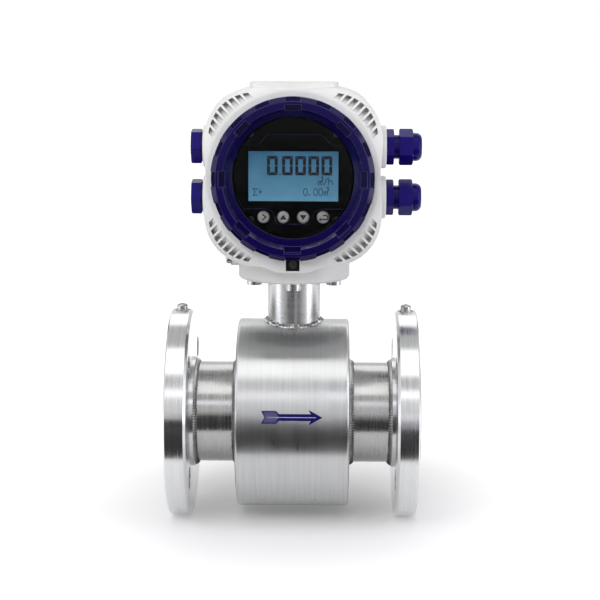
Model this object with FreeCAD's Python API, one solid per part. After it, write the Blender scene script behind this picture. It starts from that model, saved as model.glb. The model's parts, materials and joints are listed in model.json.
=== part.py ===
import FreeCAD, Part
import math
import os

# Electromagnetic flow meter, nominal bore 50 mm, flanges to the PN16 drilling.
# Millimetres. The origin is the middle of the flow bore: +X is the flow
# direction, +Z points up to the converter and -Y is the display side.

# ---- Flow tube -------------------------------------------------------------
face_to_face = 200.0
bore_d = 50.0
liner_wall = 3.0
liner_flare_t = 1.5
liner_flare_d = 100.0
tube_wall = 2.0
flange_d = 165.0
flange_t = 17.0
flange_chamfer = 2.0
raised_face_d = 102.0
raised_face_h = 1.0
flange_hub_d = 88.0
flange_hub_l = 2.5
bolt_circle_d = 125.0
bolt_hole_d = 18.0
bolt_count = 4
sleeve_d = 80.0
sleeve_wall = 3.0
bead_leg = 3.2
bead_bulge = 0.62

# ---- Coil housing and what it holds ----------------------------------------
drum_d = 150.0
drum_l = 88.0
drum_wall = 3.0
drum_edge_r = 2.5
end_plate_t = 4.0
end_plate_inset = 0.8
pole_shoe_t = 3.0
pole_shoe_l = 56.0
pole_shoe_arc = 80.0
pole_core = 16.0
coil_l = 52.0
coil_w = 40.0
coil_h = 16.0
coil_lift = 2.0
coil_gap = 0.5
yoke_inner_d = 116.0
yoke_t = 4.0
yoke_l = 60.0
electrode_head_d = 10.0
electrode_head_t = 2.5
electrode_pin_d = 5.0
electrode_reach = 45.0
electrode_nut_af = 8.0
electrode_nut_t = 3.0
electrode_pin_start = 0.5
insulator_wall = 2.0
insulator_flange_t = 2.0
insulator_flange_d = 14.0
insulator_reach = 33.0

# ---- Flow arrow on the drum ------------------------------------------------
arrow_l = 46.6
arrow_head_l = 10.6
arrow_head_h = 11.7
arrow_barb = 1.8
arrow_tail_l = 11.3
arrow_tail_h = 9.8
arrow_tail_notch = 2.5
arrow_shaft_h = 5.2
arrow_t = 0.35
arrow_angle = 2.0

# ---- Flange earthing screws ------------------------------------------------
earth_thread_d = 5.0
earth_thread_l = 8.0
earth_washer_d = 11.0
earth_washer_t = 1.0
earth_seat_sink = 0.4
earth_seat_margin = 0.5
spring_washer_d = 8.6
spring_washer_t = 1.4
spring_washer_cut = 1.0
earth_head_d = 8.6
earth_head_h = 3.0
earth_head_side_h = 1.35
earth_head_mid_d = 7.224
earth_head_mid_h = 2.46
earth_head_top_d = 4.3
earth_slot_w = 1.2
earth_slot_l = 5.332
earth_slot_depth = 1.2

# ---- Neck ------------------------------------------------------------------
neck_d = 42.0
neck_wall = 3.0
neck_foot_z = 68.0
neck_flange_d = 79.4
neck_flange_t = 8.0
neck_gasket_t = 1.5
neck_bolt_d = 8.0
neck_bolt_head_d = 12.0
neck_bolt_head_h = 6.3
neck_bolt_socket_af = 6.0
neck_bolt_circle_d = 63.0
neck_bolt_grip = 12.0
saddle_bead_w = 3.0
saddle_bead_h = 2.0
harness_d = 8.0
harness_top_gap = 7.0
harness_foot_gap = 1.0
harness_y = 10.0

# ---- Converter housing -----------------------------------------------------
head_z = 192.0
head_face = 57.5
head_bore_d = 106.16
partition_front = -4.0
partition_rear = 0.0
lobe_mean_r = 73.0
lobe_swing = 7.0
lobe_points = 32
shoulder_r = 65.5
shoulder_end_r = 84.0
shoulder_end = 36.0
shoulder_mid_r = 77.0
shoulder_mid = 51.5
rib_t = 1.8
rib_gap = 3.7
rib_gap_count = 8
rib_pocket_wall = 3.5
rib_pocket_inner_r = 50.5
rib_pocket_start_r = 67.0
rib_pocket_floor_r = 74.5
rib_pocket_floor = 45.0
pad_half_x = 34.0
pad_half_y = 32.0
pad_rise = 71.0
pad_corner_r = 8.0
collar_d = 88.0
collar_bottom = 109.0
collar_top_gap = 10.0
collar_edge_r = 3.0
collar_recess_gap = 0.3
collar_lip = 0.6
apron_drop = 72.0
apron_corner_rise = 0.7
apron_root_drop = 0.5
apron_swell = 0.3
apron_half_w = 27.0
apron_flat_half_w = 13.0
apron_depth = 14.0
lock_recess_w = 10.4
lock_recess_top = 60.5
lock_recess_h = 9.9
lock_recess_depth = 4.5
lock_screw_drop = 0.2
lock_screw_d = 4.0
lock_screw_l = 8.0
lock_head_d = 6.2
lock_head_h = 4.0
lock_socket_af = 3.0
lug_d = 11.0
lug_reach = 49.0
lug_z = 124.0
lug_root = 6.0

# ---- Screw covers ----------------------------------------------------------
thread_clearance = 0.08
cover_d = 123.0
cover_rim_h = 15.0
cover_lift = 0.5
cover_bevel_r = 3.8
cover_bevel_h = 3.0
cover_spigot_l = 14.0
cover_glass_bore_d = 98.0
cover_mouth_d = 105.0
cover_throat_d = 101.6
cover_throat = 3.0
cover_window_d = 92.6
cover_lip_front = -3.0
cover_lip_t = 2.0
rim_notch_count = 16
rim_notch_w = 11.5
rim_notch_r = 57.9
rim_notch_floor = 5.0
wrench_slot_count = 8
wrench_slot_w = 12.5
wrench_slot_r = 55.6
wrench_slot_floor = 4.5
wrench_slot_root_r = 41.3
rear_cover_skin = 4.0
seal_mid_d = 113.0
seal_w = 2.9
seal_groove_w = 3.0
seal_groove_depth = 2.2
glass_t = 6.0
glass_gap = 0.3
glass_gasket_t = 1.0
retainer_bore_d = 90.6

# ---- Display and electronics -----------------------------------------------
panel_gap = 2.0
panel_d = 101.0
panel_t = 2.0
lcd_w = 68.5
lcd_h = 38.0
lcd_z = 0.5
lcd_frame = 5.0
lcd_body_t = 4.0
lcd_gap = 0.1
lcd_sink = 0.3
key_d = 9.2
key_gap = 0.3
key_pitch = 15.2
key_z = -30.7
key_proud = 1.0
key_flange_d = 11.2
key_flange_t = 1.0
key_stem_d = 3.6
key_travel = 0.8
key_overtravel = 0.1
key_chamfer = 0.5
switch_w = 6.2
switch_h = 3.0
plunger_d = 3.4
plunger_h = 0.8
board_d = 98.0
board_t = 1.6
display_board_gap = 6.0
main_board_gap = 11.9
post_circle_d = 93.0
post_d = 6.0
post_screw_d = 3.0
post_screw_head_d = 5.5
post_screw_head_h = 1.5
post_screw_bite = 3.0
power_module_x = 46.0
power_module_z = 30.0
power_module_t = 12.0

# ---- Terminals -------------------------------------------------------------
terminal_count = 8
terminal_pitch = 7.6
terminal_base_t = 9.0
terminal_depth = 18.0
terminal_h = 14.0
terminal_wall = 1.2
terminal_screw_d = 5.0
terminal_screw_h = 3.0
terminal_shank_d = 2.5
terminal_wire_d = 4.0
terminal_slot_w = 0.9

# ---- Cable entries, glands and plugs ---------------------------------------
entry_d = 20.0
entry_y = 14.0
entry_spread = 40.0
boss_d = 34.0
boss_reach = 72.5
boss_root = 50.0
boss_edge_r = 1.5
gland_thread_l = 12.0
gland_hex_af = 24.5
gland_hex_t = 6.0
gland_hex_bevel = 0.8
gland_hex_turn = 24.0
gland_neck_d = 19.0
gland_neck_l = 4.0
gland_nut_overlap = 6.0
gland_bore_d = 14.0
gland_pocket_d = 16.5
gland_pocket_floor = 8.0
gland_nut_af = 25.0
gland_nut_hex_l = 11.0
gland_nut_bevel = 1.2
gland_nut_runout = 1.5
gland_nut_pocket_gap = 0.3
gland_nut_dome_l = 7.0
gland_nut_dome_d = 22.4
gland_nut_dome_end_d = 16.0
gland_nut_dome_side_l = 2.45
gland_nut_dome_mid_d = 20.6
gland_nut_dome_mid_l = 5.25
gland_mouth_d = 13.0
insert_bore_d = 11.0
insert_end = 20.0
insert_gap = 0.08
plug_thread_l = 11.0
plug_hex_af = 25.0
plug_hex_t = 8.2
plug_chamfer = 1.0
plug_hex_turn = 8.0
plug_seal_t = 1.2
plug_seal_d = 24.0
plug_socket_d = 14.0
plug_socket_depth = 8.0

# ---- Places worked out from the sizes above --------------------------------
bore_r = bore_d / 2
tube_in_r = bore_r + liner_wall
tube_r = tube_in_r + tube_wall
face_x = face_to_face / 2
raised_x = face_x - liner_flare_t
rim_x = raised_x - raised_face_h
flange_in_x = rim_x - flange_t
hub_x = flange_in_x - flange_hub_l
drum_r = drum_d / 2
drum_in_r = drum_r - drum_wall
end_plate_x = drum_l / 2 - end_plate_inset
sleeve_r = sleeve_d / 2
yoke_in_r = yoke_inner_d / 2
neck_r = neck_d / 2
neck_flange_z = collar_bottom + collar_lip
neck_gasket_z = neck_flange_z + neck_flange_t
collar_ceiling = neck_gasket_z + neck_gasket_t
head_bore_r = head_bore_d / 2
spigot_r = head_bore_r - thread_clearance
lip_back = cover_lip_front - cover_lip_t
glass_front = lip_back - glass_gasket_t
glass_back = glass_front - glass_t
panel_y = -(head_face - cover_spigot_l - panel_gap)
panel_back = panel_y + panel_t
display_board_y = panel_back + display_board_gap
main_board_y = display_board_y + board_t + main_board_gap
entry_r = entry_d / 2
entry_half = entry_spread / 2
rib_pitch = rib_t + rib_gap
earth_seat_z = flange_d / 2 - earth_seat_sink
harness_at = (0, harness_y)
lock_floor_y = -head_face + lock_recess_depth
lock_at = (0, head_z - lock_recess_top - lock_recess_h / 2 - lock_screw_drop)
key_stem_y = display_board_y - switch_h - plunger_h - key_travel - key_overtravel
cut_margin = 1.0
same_point = 1e-6
upright_share = 0.9
bevel_slope = 0.6
X, Y, Z = "X", "Y", "Z"
AXES = {X: (1, 0, 0), Y: (0, 1, 0), Z: (0, 0, 1)}
parts = {}


# ---- Helpers ---------------------------------------------------------------
def place(axis, along, across):
    """A point from its distance along an axis and its two other coordinates."""
    a, b = across
    if axis == X:
        return FreeCAD.Vector(along, a, b)
    if axis == Y:
        return FreeCAD.Vector(a, along, b)
    return FreeCAD.Vector(a, b, along)


def rod(axis, radius, start, stop, across=(0, 0)):
    low, high = sorted((start, stop))
    direction = FreeCAD.Vector(*AXES[axis])
    return Part.makeCylinder(radius, high - low, place(axis, low, across), direction)


def ring(axis, outer, inner, start, stop, across=(0, 0)):
    return rod(axis, outer, start, stop, across).cut(rod(axis, inner, start, stop, across))


def block(x0, x1, y0, y1, z0, z1):
    return Part.makeBox(x1 - x0, y1 - y0, z1 - z0, FreeCAD.Vector(x0, y0, z0))


def lathe(axis, outline, across=(0, 0), origin=0.0, way=1):
    """Turns (radius, distance) points about an axis. A pair of points is an arc."""

    def point(r, s):
        offset = (across[0] + r, across[1])
        return place(axis, origin + way * s, offset)

    edges = []
    last = outline[0]
    for step in outline[1:] + [outline[0]]:
        if isinstance(step[0], tuple):
            middle, end = step
            edges.append(Part.Arc(point(*last), point(*middle), point(*end)).toShape())
            last = end
        elif math.dist(last, step) > same_point:
            edges.append(Part.makeLine(point(*last), point(*step)))
            last = step
    face = Part.Face(Part.Wire(edges))
    centre = place(axis, origin, across)
    return face.revolve(centre, FreeCAD.Vector(*AXES[axis]), 360)


def hexagon(axis, flats, start, stop, across=(0, 0), turn=0.0):
    radius = flats / math.sqrt(3)
    low, high = sorted((start, stop))
    corners = []
    for step in range(7):
        angle = math.radians(60 * step + turn)
        offset = (across[0] + radius * math.cos(angle), across[1] + radius * math.sin(angle))
        corners.append(place(axis, low, offset))
    face = Part.Face(Part.makePolygon(corners))
    return face.extrude(FreeCAD.Vector(*AXES[axis]) * (high - low))


def bevelled_hexagon(axis, flats, start, stop, bevel, across, turn, both=True):
    """A hexagon whose corners are turned off at its ends, as on a nut."""
    corner = flats / math.sqrt(3)
    way = 1 if stop > start else -1
    length = abs(stop - start)
    foot = bevel if both else 0.0
    outline = [(0, 0), (corner - foot, 0), (corner, foot * bevel_slope)]
    outline += [(corner, length - bevel * bevel_slope), (corner - bevel, length), (0, length)]
    limit = lathe(axis, outline, across, start, way)
    return hexagon(axis, flats, start, stop, across, turn).common(limit)


def spun(shape, axis, angle, across=(0, 0)):
    copy = shape.copy()
    copy.rotate(place(axis, 0, across), FreeCAD.Vector(*AXES[axis]), angle)
    return copy


def mirrored(shape, axis):
    return shape.mirror(FreeCAD.Vector(0, 0, 0), FreeCAD.Vector(*AXES[axis]))


def around(shape, axis, count, across=(0, 0), first=0.0):
    return [spun(shape, axis, first + 360 * k / count, across) for k in range(count)]


def add(name, *shapes):
    whole = shapes[0] if len(shapes) == 1 else Part.makeCompound(list(shapes))
    parts[name] = whole


# ---- Flow tube -------------------------------------------------------------
def flange():
    """The outlet flange: a drilled ring with a raised face and a short hub."""
    outline = [
        (tube_r, hub_x),
        (flange_hub_d / 2, hub_x),
        (flange_hub_d / 2, flange_in_x),
        (flange_d / 2 - flange_chamfer, flange_in_x),
        (flange_d / 2, flange_in_x + flange_chamfer),
        (flange_d / 2, rim_x - flange_chamfer / 2),
        (flange_d / 2 - flange_chamfer / 2, rim_x),
        (raised_face_d / 2, rim_x),
        (raised_face_d / 2, raised_x),
        (tube_r, raised_x),
    ]
    body = lathe(X, outline)
    hole = rod(X, bolt_hole_d / 2, hub_x, face_x, (0, bolt_circle_d / 2))
    holes = around(hole, X, bolt_count, first=180 / bolt_count)
    seat_x = (flange_in_x + rim_x) / 2
    tapped = rod(Z, earth_thread_d / 2, earth_seat_z - earth_thread_l, flange_d, (seat_x, 0))
    flat = rod(Z, earth_washer_d / 2 + earth_seat_margin, earth_seat_z, flange_d, (seat_x, 0))
    return body.cut(holes + [tapped, flat])


def earth_screw_set():
    """Pan-head screw with a spring washer and a flat washer, on top of a flange."""
    at = ((flange_in_x + rim_x) / 2, 0)
    return screw_set(Z, earth_seat_z, at, 1)


def screw_set(axis, seat, at, way):
    """The solids of one earthing screw: flat washer, split washer and screw."""
    radius = earth_thread_d / 2
    washer_top = seat + way * earth_washer_t
    spring_top = washer_top + way * spring_washer_t
    washer = ring(axis, earth_washer_d / 2, radius, seat, washer_top, at)
    spring = ring(axis, spring_washer_d / 2, radius, washer_top, spring_top, at)
    corner = FreeCAD.Vector(-spring_washer_cut / 2, 0, -earth_thread_l)
    gap = Part.makeBox(spring_washer_cut, spring_washer_d, 2 * earth_thread_l, corner)
    if axis == X:
        gap = spun(gap, Y, 90)
    gap.translate(place(axis, seat, at))
    spring = spring.cut(gap)
    shank = rod(axis, radius, seat - way * earth_thread_l, spring_top, at)
    outline = [
        (0, 0),
        (earth_head_d / 2, 0),
        (earth_head_d / 2, earth_head_side_h),
        ((earth_head_mid_d / 2, earth_head_mid_h), (earth_head_top_d / 2, earth_head_h)),
        (0, earth_head_h),
    ]
    head = lathe(axis, outline, at, spring_top, way)
    for turn in (0, 90):
        slot = Part.makeBox(earth_slot_w, earth_slot_l, 2 * earth_slot_depth)
        slot.translate(FreeCAD.Vector(-earth_slot_w / 2, -earth_slot_l / 2, -earth_slot_depth))
        slot = spun(slot, Z, turn)
        if axis == X:
            slot = spun(slot, Y, 90)
        slot.translate(place(axis, spring_top + way * earth_head_h, at))
        head = head.cut(slot)
    return [washer, spring, shank.fuse(head)]


def electrode_holes(radius):
    return rod(Y, radius, -drum_in_r, drum_in_r)


def measuring_tube():
    tube = ring(X, tube_r, tube_in_r, -raised_x, raised_x)
    return tube.cut(electrode_holes(electrode_pin_d / 2 + insulator_wall))


def liner():
    outline = [
        (bore_r, -face_x),
        (liner_flare_d / 2, -face_x),
        (liner_flare_d / 2, -raised_x),
        (tube_in_r, -raised_x),
        (tube_in_r, raised_x),
        (liner_flare_d / 2, raised_x),
        (liner_flare_d / 2, face_x),
        (bore_r, face_x),
    ]
    seat = electrode_holes(electrode_head_d / 2)
    seat = seat.common(rod(X, bore_r + electrode_head_t, -face_x, face_x))
    return lathe(X, outline).cut([seat, electrode_holes(electrode_pin_d / 2)])


def drum():
    """Rolled shell round the coils, with rounded ends and a hole for the neck."""
    half = drum_l / 2
    edge = drum_edge_r
    bend = edge * (1 - math.sqrt(0.5))
    outline = [
        (drum_in_r, -half),
        (drum_r - edge, -half),
        ((drum_r - bend, -half + bend), (drum_r, -half + edge)),
        (drum_r, half - edge),
        ((drum_r - bend, half - bend), (drum_r - edge, half)),
        (drum_in_r, half),
    ]
    return lathe(X, outline).cut(rod(Z, neck_r, 0, drum_d))


def weld_beads():
    """Fillet welds of the sleeves and of the neck."""
    beads = []
    for corner, way in ((hub_x, -1), (end_plate_x, 1)):
        outline = [
            (sleeve_r, corner),
            (sleeve_r + bead_leg, corner),
            (
                (sleeve_r + bead_leg * bead_bulge, corner + way * bead_leg * bead_bulge),
                (sleeve_r, corner + way * bead_leg),
            ),
        ]
        bead = lathe(X, outline)
        beads += [bead, mirrored(bead, X)]
    saddle = rod(Z, neck_r + saddle_bead_w, 0, drum_d)
    saddle = saddle.common(rod(X, drum_r + saddle_bead_h, -neck_d, neck_d))
    saddle = saddle.cut([rod(X, drum_r, -neck_d, neck_d), rod(Z, neck_r, 0, drum_d)])
    return beads + [saddle]


def electrode(side):
    """Round-headed electrode, its head level with the bore, and its nut."""
    head = rod(Y, electrode_head_d / 2, 0, side * tube_in_r)
    head = head.common(ring(X, bore_r + electrode_head_t, bore_r, -bore_r, bore_r))
    pin = rod(Y, electrode_pin_d / 2, side * (bore_r + electrode_pin_start), side * electrode_reach)
    nut_stop = side * (insulator_reach + electrode_nut_t)
    nut = hexagon(Y, electrode_nut_af, side * insulator_reach, nut_stop)
    return head.fuse([pin, nut])


def insulator(side):
    bush_r = electrode_pin_d / 2 + insulator_wall
    bush = rod(Y, bush_r, side * tube_in_r, side * insulator_reach)
    washer = rod(Y, insulator_flange_d / 2, side * (insulator_reach - insulator_flange_t),
                 side * insulator_reach)
    whole = bush.fuse(washer.cut(rod(X, tube_r, -bore_r, bore_r)))
    whole = whole.cut(rod(X, tube_in_r, -bore_r, bore_r))
    return whole.cut(rod(Y, electrode_pin_d / 2, 0, side * drum_in_r))


def pole_shoe():
    """Curved shoe on the tube with the iron core that carries the coil."""
    inner = tube_r
    shell = ring(X, inner + pole_shoe_t, inner, -pole_shoe_l / 2, pole_shoe_l / 2)
    half = math.radians(pole_shoe_arc / 2)
    reach = 2 * drum_r
    corners = [(0, 0), (reach * math.sin(half), reach * math.cos(half))]
    corners += [(-reach * math.sin(half), reach * math.cos(half)), (0, 0)]
    wedge = Part.Face(Part.makePolygon([FreeCAD.Vector(-drum_r, y, z) for y, z in corners]))
    shell = shell.common(wedge.extrude(FreeCAD.Vector(drum_d, 0, 0)))
    half_core = pole_core / 2
    core = block(-half_core, half_core, -half_core, half_core, inner + cut_margin, drum_in_r)
    core = core.common(rod(X, yoke_in_r, -drum_r, drum_r))
    return shell.fuse(core.cut(rod(X, inner, -drum_r, drum_r)))


def coil():
    foot = tube_r + pole_shoe_t + coil_lift
    half_l = coil_l / 2
    half_w = coil_w / 2
    winding = block(-half_l, half_l, -half_w, half_w, foot, foot + coil_h)
    upright = [e for e in winding.Edges if abs(e.tangentAt(e.FirstParameter).z) > upright_share]
    winding = winding.makeFillet(coil_w / 4, upright)
    half_core = pole_core / 2 + coil_gap
    window = block(-half_core, half_core, -half_core, half_core,
                   foot - cut_margin, foot + coil_h + cut_margin)
    return winding.cut(window)


def flow_arrow():
    """Thin curved arrow on the front of the drum, pointing the way of the flow."""
    half = arrow_l / 2
    shaft = arrow_shaft_h / 2
    tail_end = -half + arrow_tail_l
    head_start = half - arrow_head_l
    upper = [
        (-half, arrow_tail_h / 2),
        (tail_end, arrow_tail_h / 2),
        (tail_end + arrow_tail_h / 2 - shaft, shaft),
        (head_start + arrow_barb, shaft),
        (head_start, arrow_head_h / 2),
        (half, 0),
    ]
    lower = [(u, -v) for u, v in reversed(upper[:-1])]
    outline = upper + lower + [(-half + arrow_tail_notch, 0), upper[0]]
    plate = Part.Face(Part.makePolygon([FreeCAD.Vector(u, -drum_d, v) for u, v in outline]))
    plate = plate.extrude(FreeCAD.Vector(0, drum_r, 0))
    plate = plate.common(ring(X, drum_r + arrow_t, drum_r, -half, half))
    return spun(plate, X, -arrow_angle)


# ---- Neck ------------------------------------------------------------------
def neck_bolt_spots():
    radius = neck_bolt_circle_d / 2
    return [(radius, 0), (0, radius), (-radius, 0), (0, -radius)]


def neck_bolts():
    bolts = []
    head_z0 = neck_flange_z - neck_bolt_head_h
    for at in neck_bolt_spots():
        head = rod(Z, neck_bolt_head_d / 2, head_z0, neck_flange_z, at)
        socket = hexagon(Z, neck_bolt_socket_af, head_z0, head_z0 + neck_bolt_head_h / 2, at)
        shank = rod(Z, neck_bolt_d / 2, neck_flange_z, collar_ceiling + neck_bolt_grip, at)
        bolts.append(head.cut(socket).fuse(shank))
    return bolts


def neck_bolt_holes(radius, z0, z1):
    return [rod(Z, radius, z0, z1, at) for at in neck_bolt_spots()]


# ---- Converter housing -----------------------------------------------------
def lobed_outline(inset, y):
    """Rounded square with a lobe at each corner and a hollow on each side."""
    points = []
    for step in range(lobe_points):
        angle = 2 * math.pi * step / lobe_points
        radius = lobe_mean_r - lobe_swing * math.cos(4 * angle) - inset
        across = (radius * math.cos(angle), head_z + radius * math.sin(angle))
        points.append(place(Y, y, across))
    curve = Part.BSplineCurve()
    curve.interpolate(points, PeriodicFlag=True)
    return Part.Face(Part.Wire(curve.toShape()))


def lobed_prism(inset, half):
    return lobed_outline(inset, -half).extrude(FreeCAD.Vector(0, 2 * half, 0))


def shoulder_limit():
    """What the casting is turned down to: round faces and rolled-off shoulders."""
    outline = [
        (0, -head_face),
        (shoulder_r, -head_face),
        ((shoulder_mid_r, -shoulder_mid), (shoulder_end_r, -shoulder_end)),
        (shoulder_end_r, shoulder_end),
        ((shoulder_mid_r, shoulder_mid), (shoulder_r, head_face)),
        (0, head_face),
    ]
    return lathe(Y, outline, (0, head_z))


def rib_pockets():
    """The gaps between the ribs that run out along each corner's diagonal."""
    scoop = [
        (rib_pocket_start_r, -head_face),
        (rib_pocket_floor_r, -rib_pocket_floor),
        (shoulder_end_r, -rib_pocket_floor),
        (shoulder_end_r, -head_face - cut_margin),
        (rib_pocket_start_r, -head_face - cut_margin),
    ]
    front = lathe(Y, scoop, (0, head_z))
    front = front.common(lobed_prism(rib_pocket_wall, head_face + 2 * cut_margin))
    gaps = []
    span = rib_pitch * (rib_gap_count - 1)
    for index in range(rib_gap_count):
        middle = index * rib_pitch - span / 2
        gap = block(rib_pocket_inner_r, shoulder_end_r, -head_face - 2 * cut_margin, 0,
                    head_z + middle - rib_gap / 2, head_z + middle + rib_gap / 2)
        gaps += around(gap, Y, 4, (0, head_z), 45)
    front = front.common(Part.makeCompound(gaps))
    return [front, mirrored(front, Y)]


def entry_spots():
    return [(entry_y, head_z + entry_half), (entry_y, head_z - entry_half)]


def entry_boss(side, at):
    radius = boss_d / 2
    edge = boss_edge_r
    bend = edge * (1 - math.sqrt(0.5))
    outline = [
        (0, boss_root),
        (radius, boss_root),
        (radius, boss_reach - edge),
        ((radius - bend, boss_reach - bend), (radius - edge, boss_reach)),
        (0, boss_reach),
    ]
    return lathe(X, outline, at, 0.0, side)


def collar():
    """Round foot of the casting, open below for the neck flange."""
    radius = collar_d / 2
    edge = collar_edge_r
    bend = edge * (1 - math.sqrt(0.5))
    top = head_z - head_bore_r + collar_top_gap
    outline = [
        (0, collar_bottom),
        (radius - edge, collar_bottom),
        ((radius - bend, collar_bottom + bend), (radius, collar_bottom + edge)),
        (radius, top),
        (0, top),
    ]
    return lathe(Z, outline)


def apron():
    """Front skirt that dips under the cover and carries the locking screw."""

    def at(x, drop):
        return FreeCAD.Vector(x, -head_face, head_z - drop)

    flat = apron_flat_half_w
    wide = apron_half_w
    root = lobe_mean_r - lobe_swing
    drop = apron_drop
    mid = (flat + wide) / 2
    corner = drop - apron_corner_rise
    side = root + apron_root_drop
    shoulder = (corner + side) / 2 - apron_swell
    edges = [
        Part.Arc(at(-flat, corner), at(0, drop), at(flat, corner)).toShape(),
        Part.Arc(at(flat, corner), at(mid, shoulder), at(wide, side)).toShape(),
        Part.makeLine(at(wide, side), at(wide, lock_recess_top)),
        Part.makeLine(at(wide, lock_recess_top), at(-wide, lock_recess_top)),
        Part.makeLine(at(-wide, lock_recess_top), at(-wide, side)),
        Part.Arc(at(-wide, side), at(-mid, shoulder), at(-flat, corner)).toShape(),
    ]
    face = Part.Face(Part.Wire(edges))
    return face.extrude(FreeCAD.Vector(0, apron_depth, 0))


def top_pad():
    pad = block(-pad_half_x, pad_half_x, -pad_half_y, pad_half_y,
                head_z + head_bore_r, head_z + pad_rise)
    upright = [e for e in pad.Edges if abs(e.tangentAt(e.FirstParameter).z) > upright_share]
    return pad.makeFillet(pad_corner_r, upright)


def converter_housing():
    """One casting: two round compartments, ribbed corners, bosses and foot."""
    body = lobed_prism(0.0, head_face).common(shoulder_limit())
    body = body.cut(rib_pockets())
    bosses = [entry_boss(side, at) for side in (-1, 1) for at in entry_spots()]
    lug = rod(X, lug_d / 2, -lug_reach, -collar_d / 2 + lug_root, (0, lug_z))
    body = body.fuse(bosses + [collar(), apron(), top_pad(), lug])
    cuts = [
        rod(Y, head_bore_r, -head_face, partition_front, (0, head_z)),
        rod(Y, head_bore_r, partition_rear, head_face, (0, head_z)),
        rod(Z, neck_flange_d / 2 + collar_recess_gap, collar_bottom, collar_ceiling),
        rod(Z, harness_d / 2, collar_ceiling, head_z - head_bore_r / 2, harness_at),
        rod(X, earth_thread_d / 2, -lug_reach, -lug_reach + earth_thread_l, (0, lug_z)),
        rod(Y, lock_screw_d / 2, -head_face, lock_floor_y + lock_screw_l, lock_at),
    ]
    half = lock_recess_w / 2
    top = head_z - lock_recess_top
    cuts.append(block(-half, half, -head_face, lock_floor_y, top - lock_recess_h, top))
    cuts += neck_bolt_holes(neck_bolt_d / 2, collar_ceiling, collar_ceiling + neck_bolt_grip)
    for at in entry_spots():
        cuts.append(rod(X, entry_r, head_bore_r / 2, boss_reach, at))
        cuts.append(rod(X, entry_r + thread_clearance, -boss_reach, -head_bore_r / 2, at))
    cuts += [rod(Y, post_screw_d / 2, partition_front, partition_front + post_screw_bite, at)
             for at in post_spots()]
    return body.cut(cuts)


def lock_screw():
    head = rod(Y, lock_head_d / 2, lock_floor_y - lock_head_h, lock_floor_y, lock_at)
    socket_stop = lock_floor_y - lock_head_h / 2
    socket = hexagon(Y, lock_socket_af, lock_floor_y - lock_head_h, socket_stop, lock_at)
    shank = rod(Y, lock_screw_d / 2, lock_floor_y, lock_floor_y + lock_screw_l, lock_at)
    return head.cut(socket).fuse(shank)


# ---- Screw covers ----------------------------------------------------------
def cover_blank(inside, way):
    """A cover from its inner outline. Distances run outward from the housing face."""
    rim_r = cover_d / 2
    outline = inside + [
        (spigot_r, -cover_spigot_l),
        (spigot_r, cover_lift),
        (rim_r, cover_lift),
        (rim_r, cover_rim_h - cover_bevel_h),
        (rim_r - cover_bevel_r, cover_rim_h),
    ]
    return lathe(Y, outline, (0, head_z), way * head_face, way)


def cover_cuts(way, slots):
    """Grip notches round the rim, the seal groove and the wrench slots."""
    outer = way * (head_face + cover_rim_h + cut_margin)
    groove_stop = cover_lift + seal_groove_depth
    groove = ring(Y, seal_mid_d / 2 + seal_groove_w / 2, seal_mid_d / 2 - seal_groove_w / 2,
                  way * head_face, way * (head_face + groove_stop), (0, head_z))
    notch_y = sorted((way * (head_face + rim_notch_floor), outer))
    notch = block(-rim_notch_w / 2, rim_notch_w / 2, *notch_y,
                  head_z + rim_notch_r, head_z + cover_d)
    cuts = [groove] + around(notch, Y, rim_notch_count, (0, head_z))
    if slots:
        slot_y = sorted((way * (head_face + wrench_slot_floor), outer))
        slot = block(-wrench_slot_w / 2, wrench_slot_w / 2, *slot_y,
                     head_z + wrench_slot_root_r, head_z + wrench_slot_r)
        cuts += around(slot, Y, wrench_slot_count, (0, head_z))
    return cuts


def front_cover():
    """Ring cover: a stepped funnel runs down to the window."""
    inside = [
        (cover_mouth_d / 2, cover_rim_h),
        (cover_throat_d / 2, cover_throat),
        (cover_window_d / 2, cover_lip_front),
        (cover_window_d / 2, lip_back),
        (cover_glass_bore_d / 2, lip_back),
        (cover_glass_bore_d / 2, -cover_spigot_l),
    ]
    return cover_blank(inside, -1).cut(cover_cuts(-1, True))


def rear_cover():
    inside = [
        (0, cover_rim_h),
        (0, cover_rim_h - rear_cover_skin),
        (cover_glass_bore_d / 2, cover_rim_h - rear_cover_skin),
        (cover_glass_bore_d / 2, -cover_spigot_l),
    ]
    return cover_blank(inside, 1).cut(cover_cuts(1, False))


def cover_seal(way):
    half = seal_w / 2
    stop = way * (head_face + cover_lift + seal_groove_depth)
    return ring(Y, seal_mid_d / 2 + half, seal_mid_d / 2 - half,
                way * head_face, stop, (0, head_z))


def cover_ring(outer, inner, start, stop):
    """A ring inside the front cover, from two distances out of the housing face."""
    return ring(Y, outer, inner, -(head_face + start), -(head_face + stop), (0, head_z))


# ---- Display and electronics -----------------------------------------------
def post_spots():
    radius = post_circle_d / 2 * math.sqrt(0.5)
    return [(i * radius, head_z + k * radius) for i in (-1, 1) for k in (-1, 1)]


def key_spots():
    return [((index - 1.5) * key_pitch, head_z + key_z) for index in range(4)]


def lcd_block(y0, y1, margin):
    half_w = lcd_w / 2 + margin
    half_h = lcd_h / 2 + margin
    middle = head_z + lcd_z
    return block(-half_w, half_w, y0, y1, middle - half_h, middle + half_h)


def display_panel():
    disc = rod(Y, panel_d / 2, panel_y, panel_back, (0, head_z))
    cuts = [lcd_block(panel_y, panel_back, 0.0)]
    cuts += [rod(Y, key_d / 2 + key_gap, panel_y, panel_back, at) for at in key_spots()]
    cuts += [rod(Y, post_screw_d / 2, panel_y, panel_back, at) for at in post_spots()]
    return disc.cut(cuts)


def lcd_module():
    body = lcd_block(panel_back, panel_back + lcd_body_t, lcd_frame)
    return body.fuse(lcd_block(panel_y + lcd_sink, panel_back, -lcd_gap))


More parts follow.
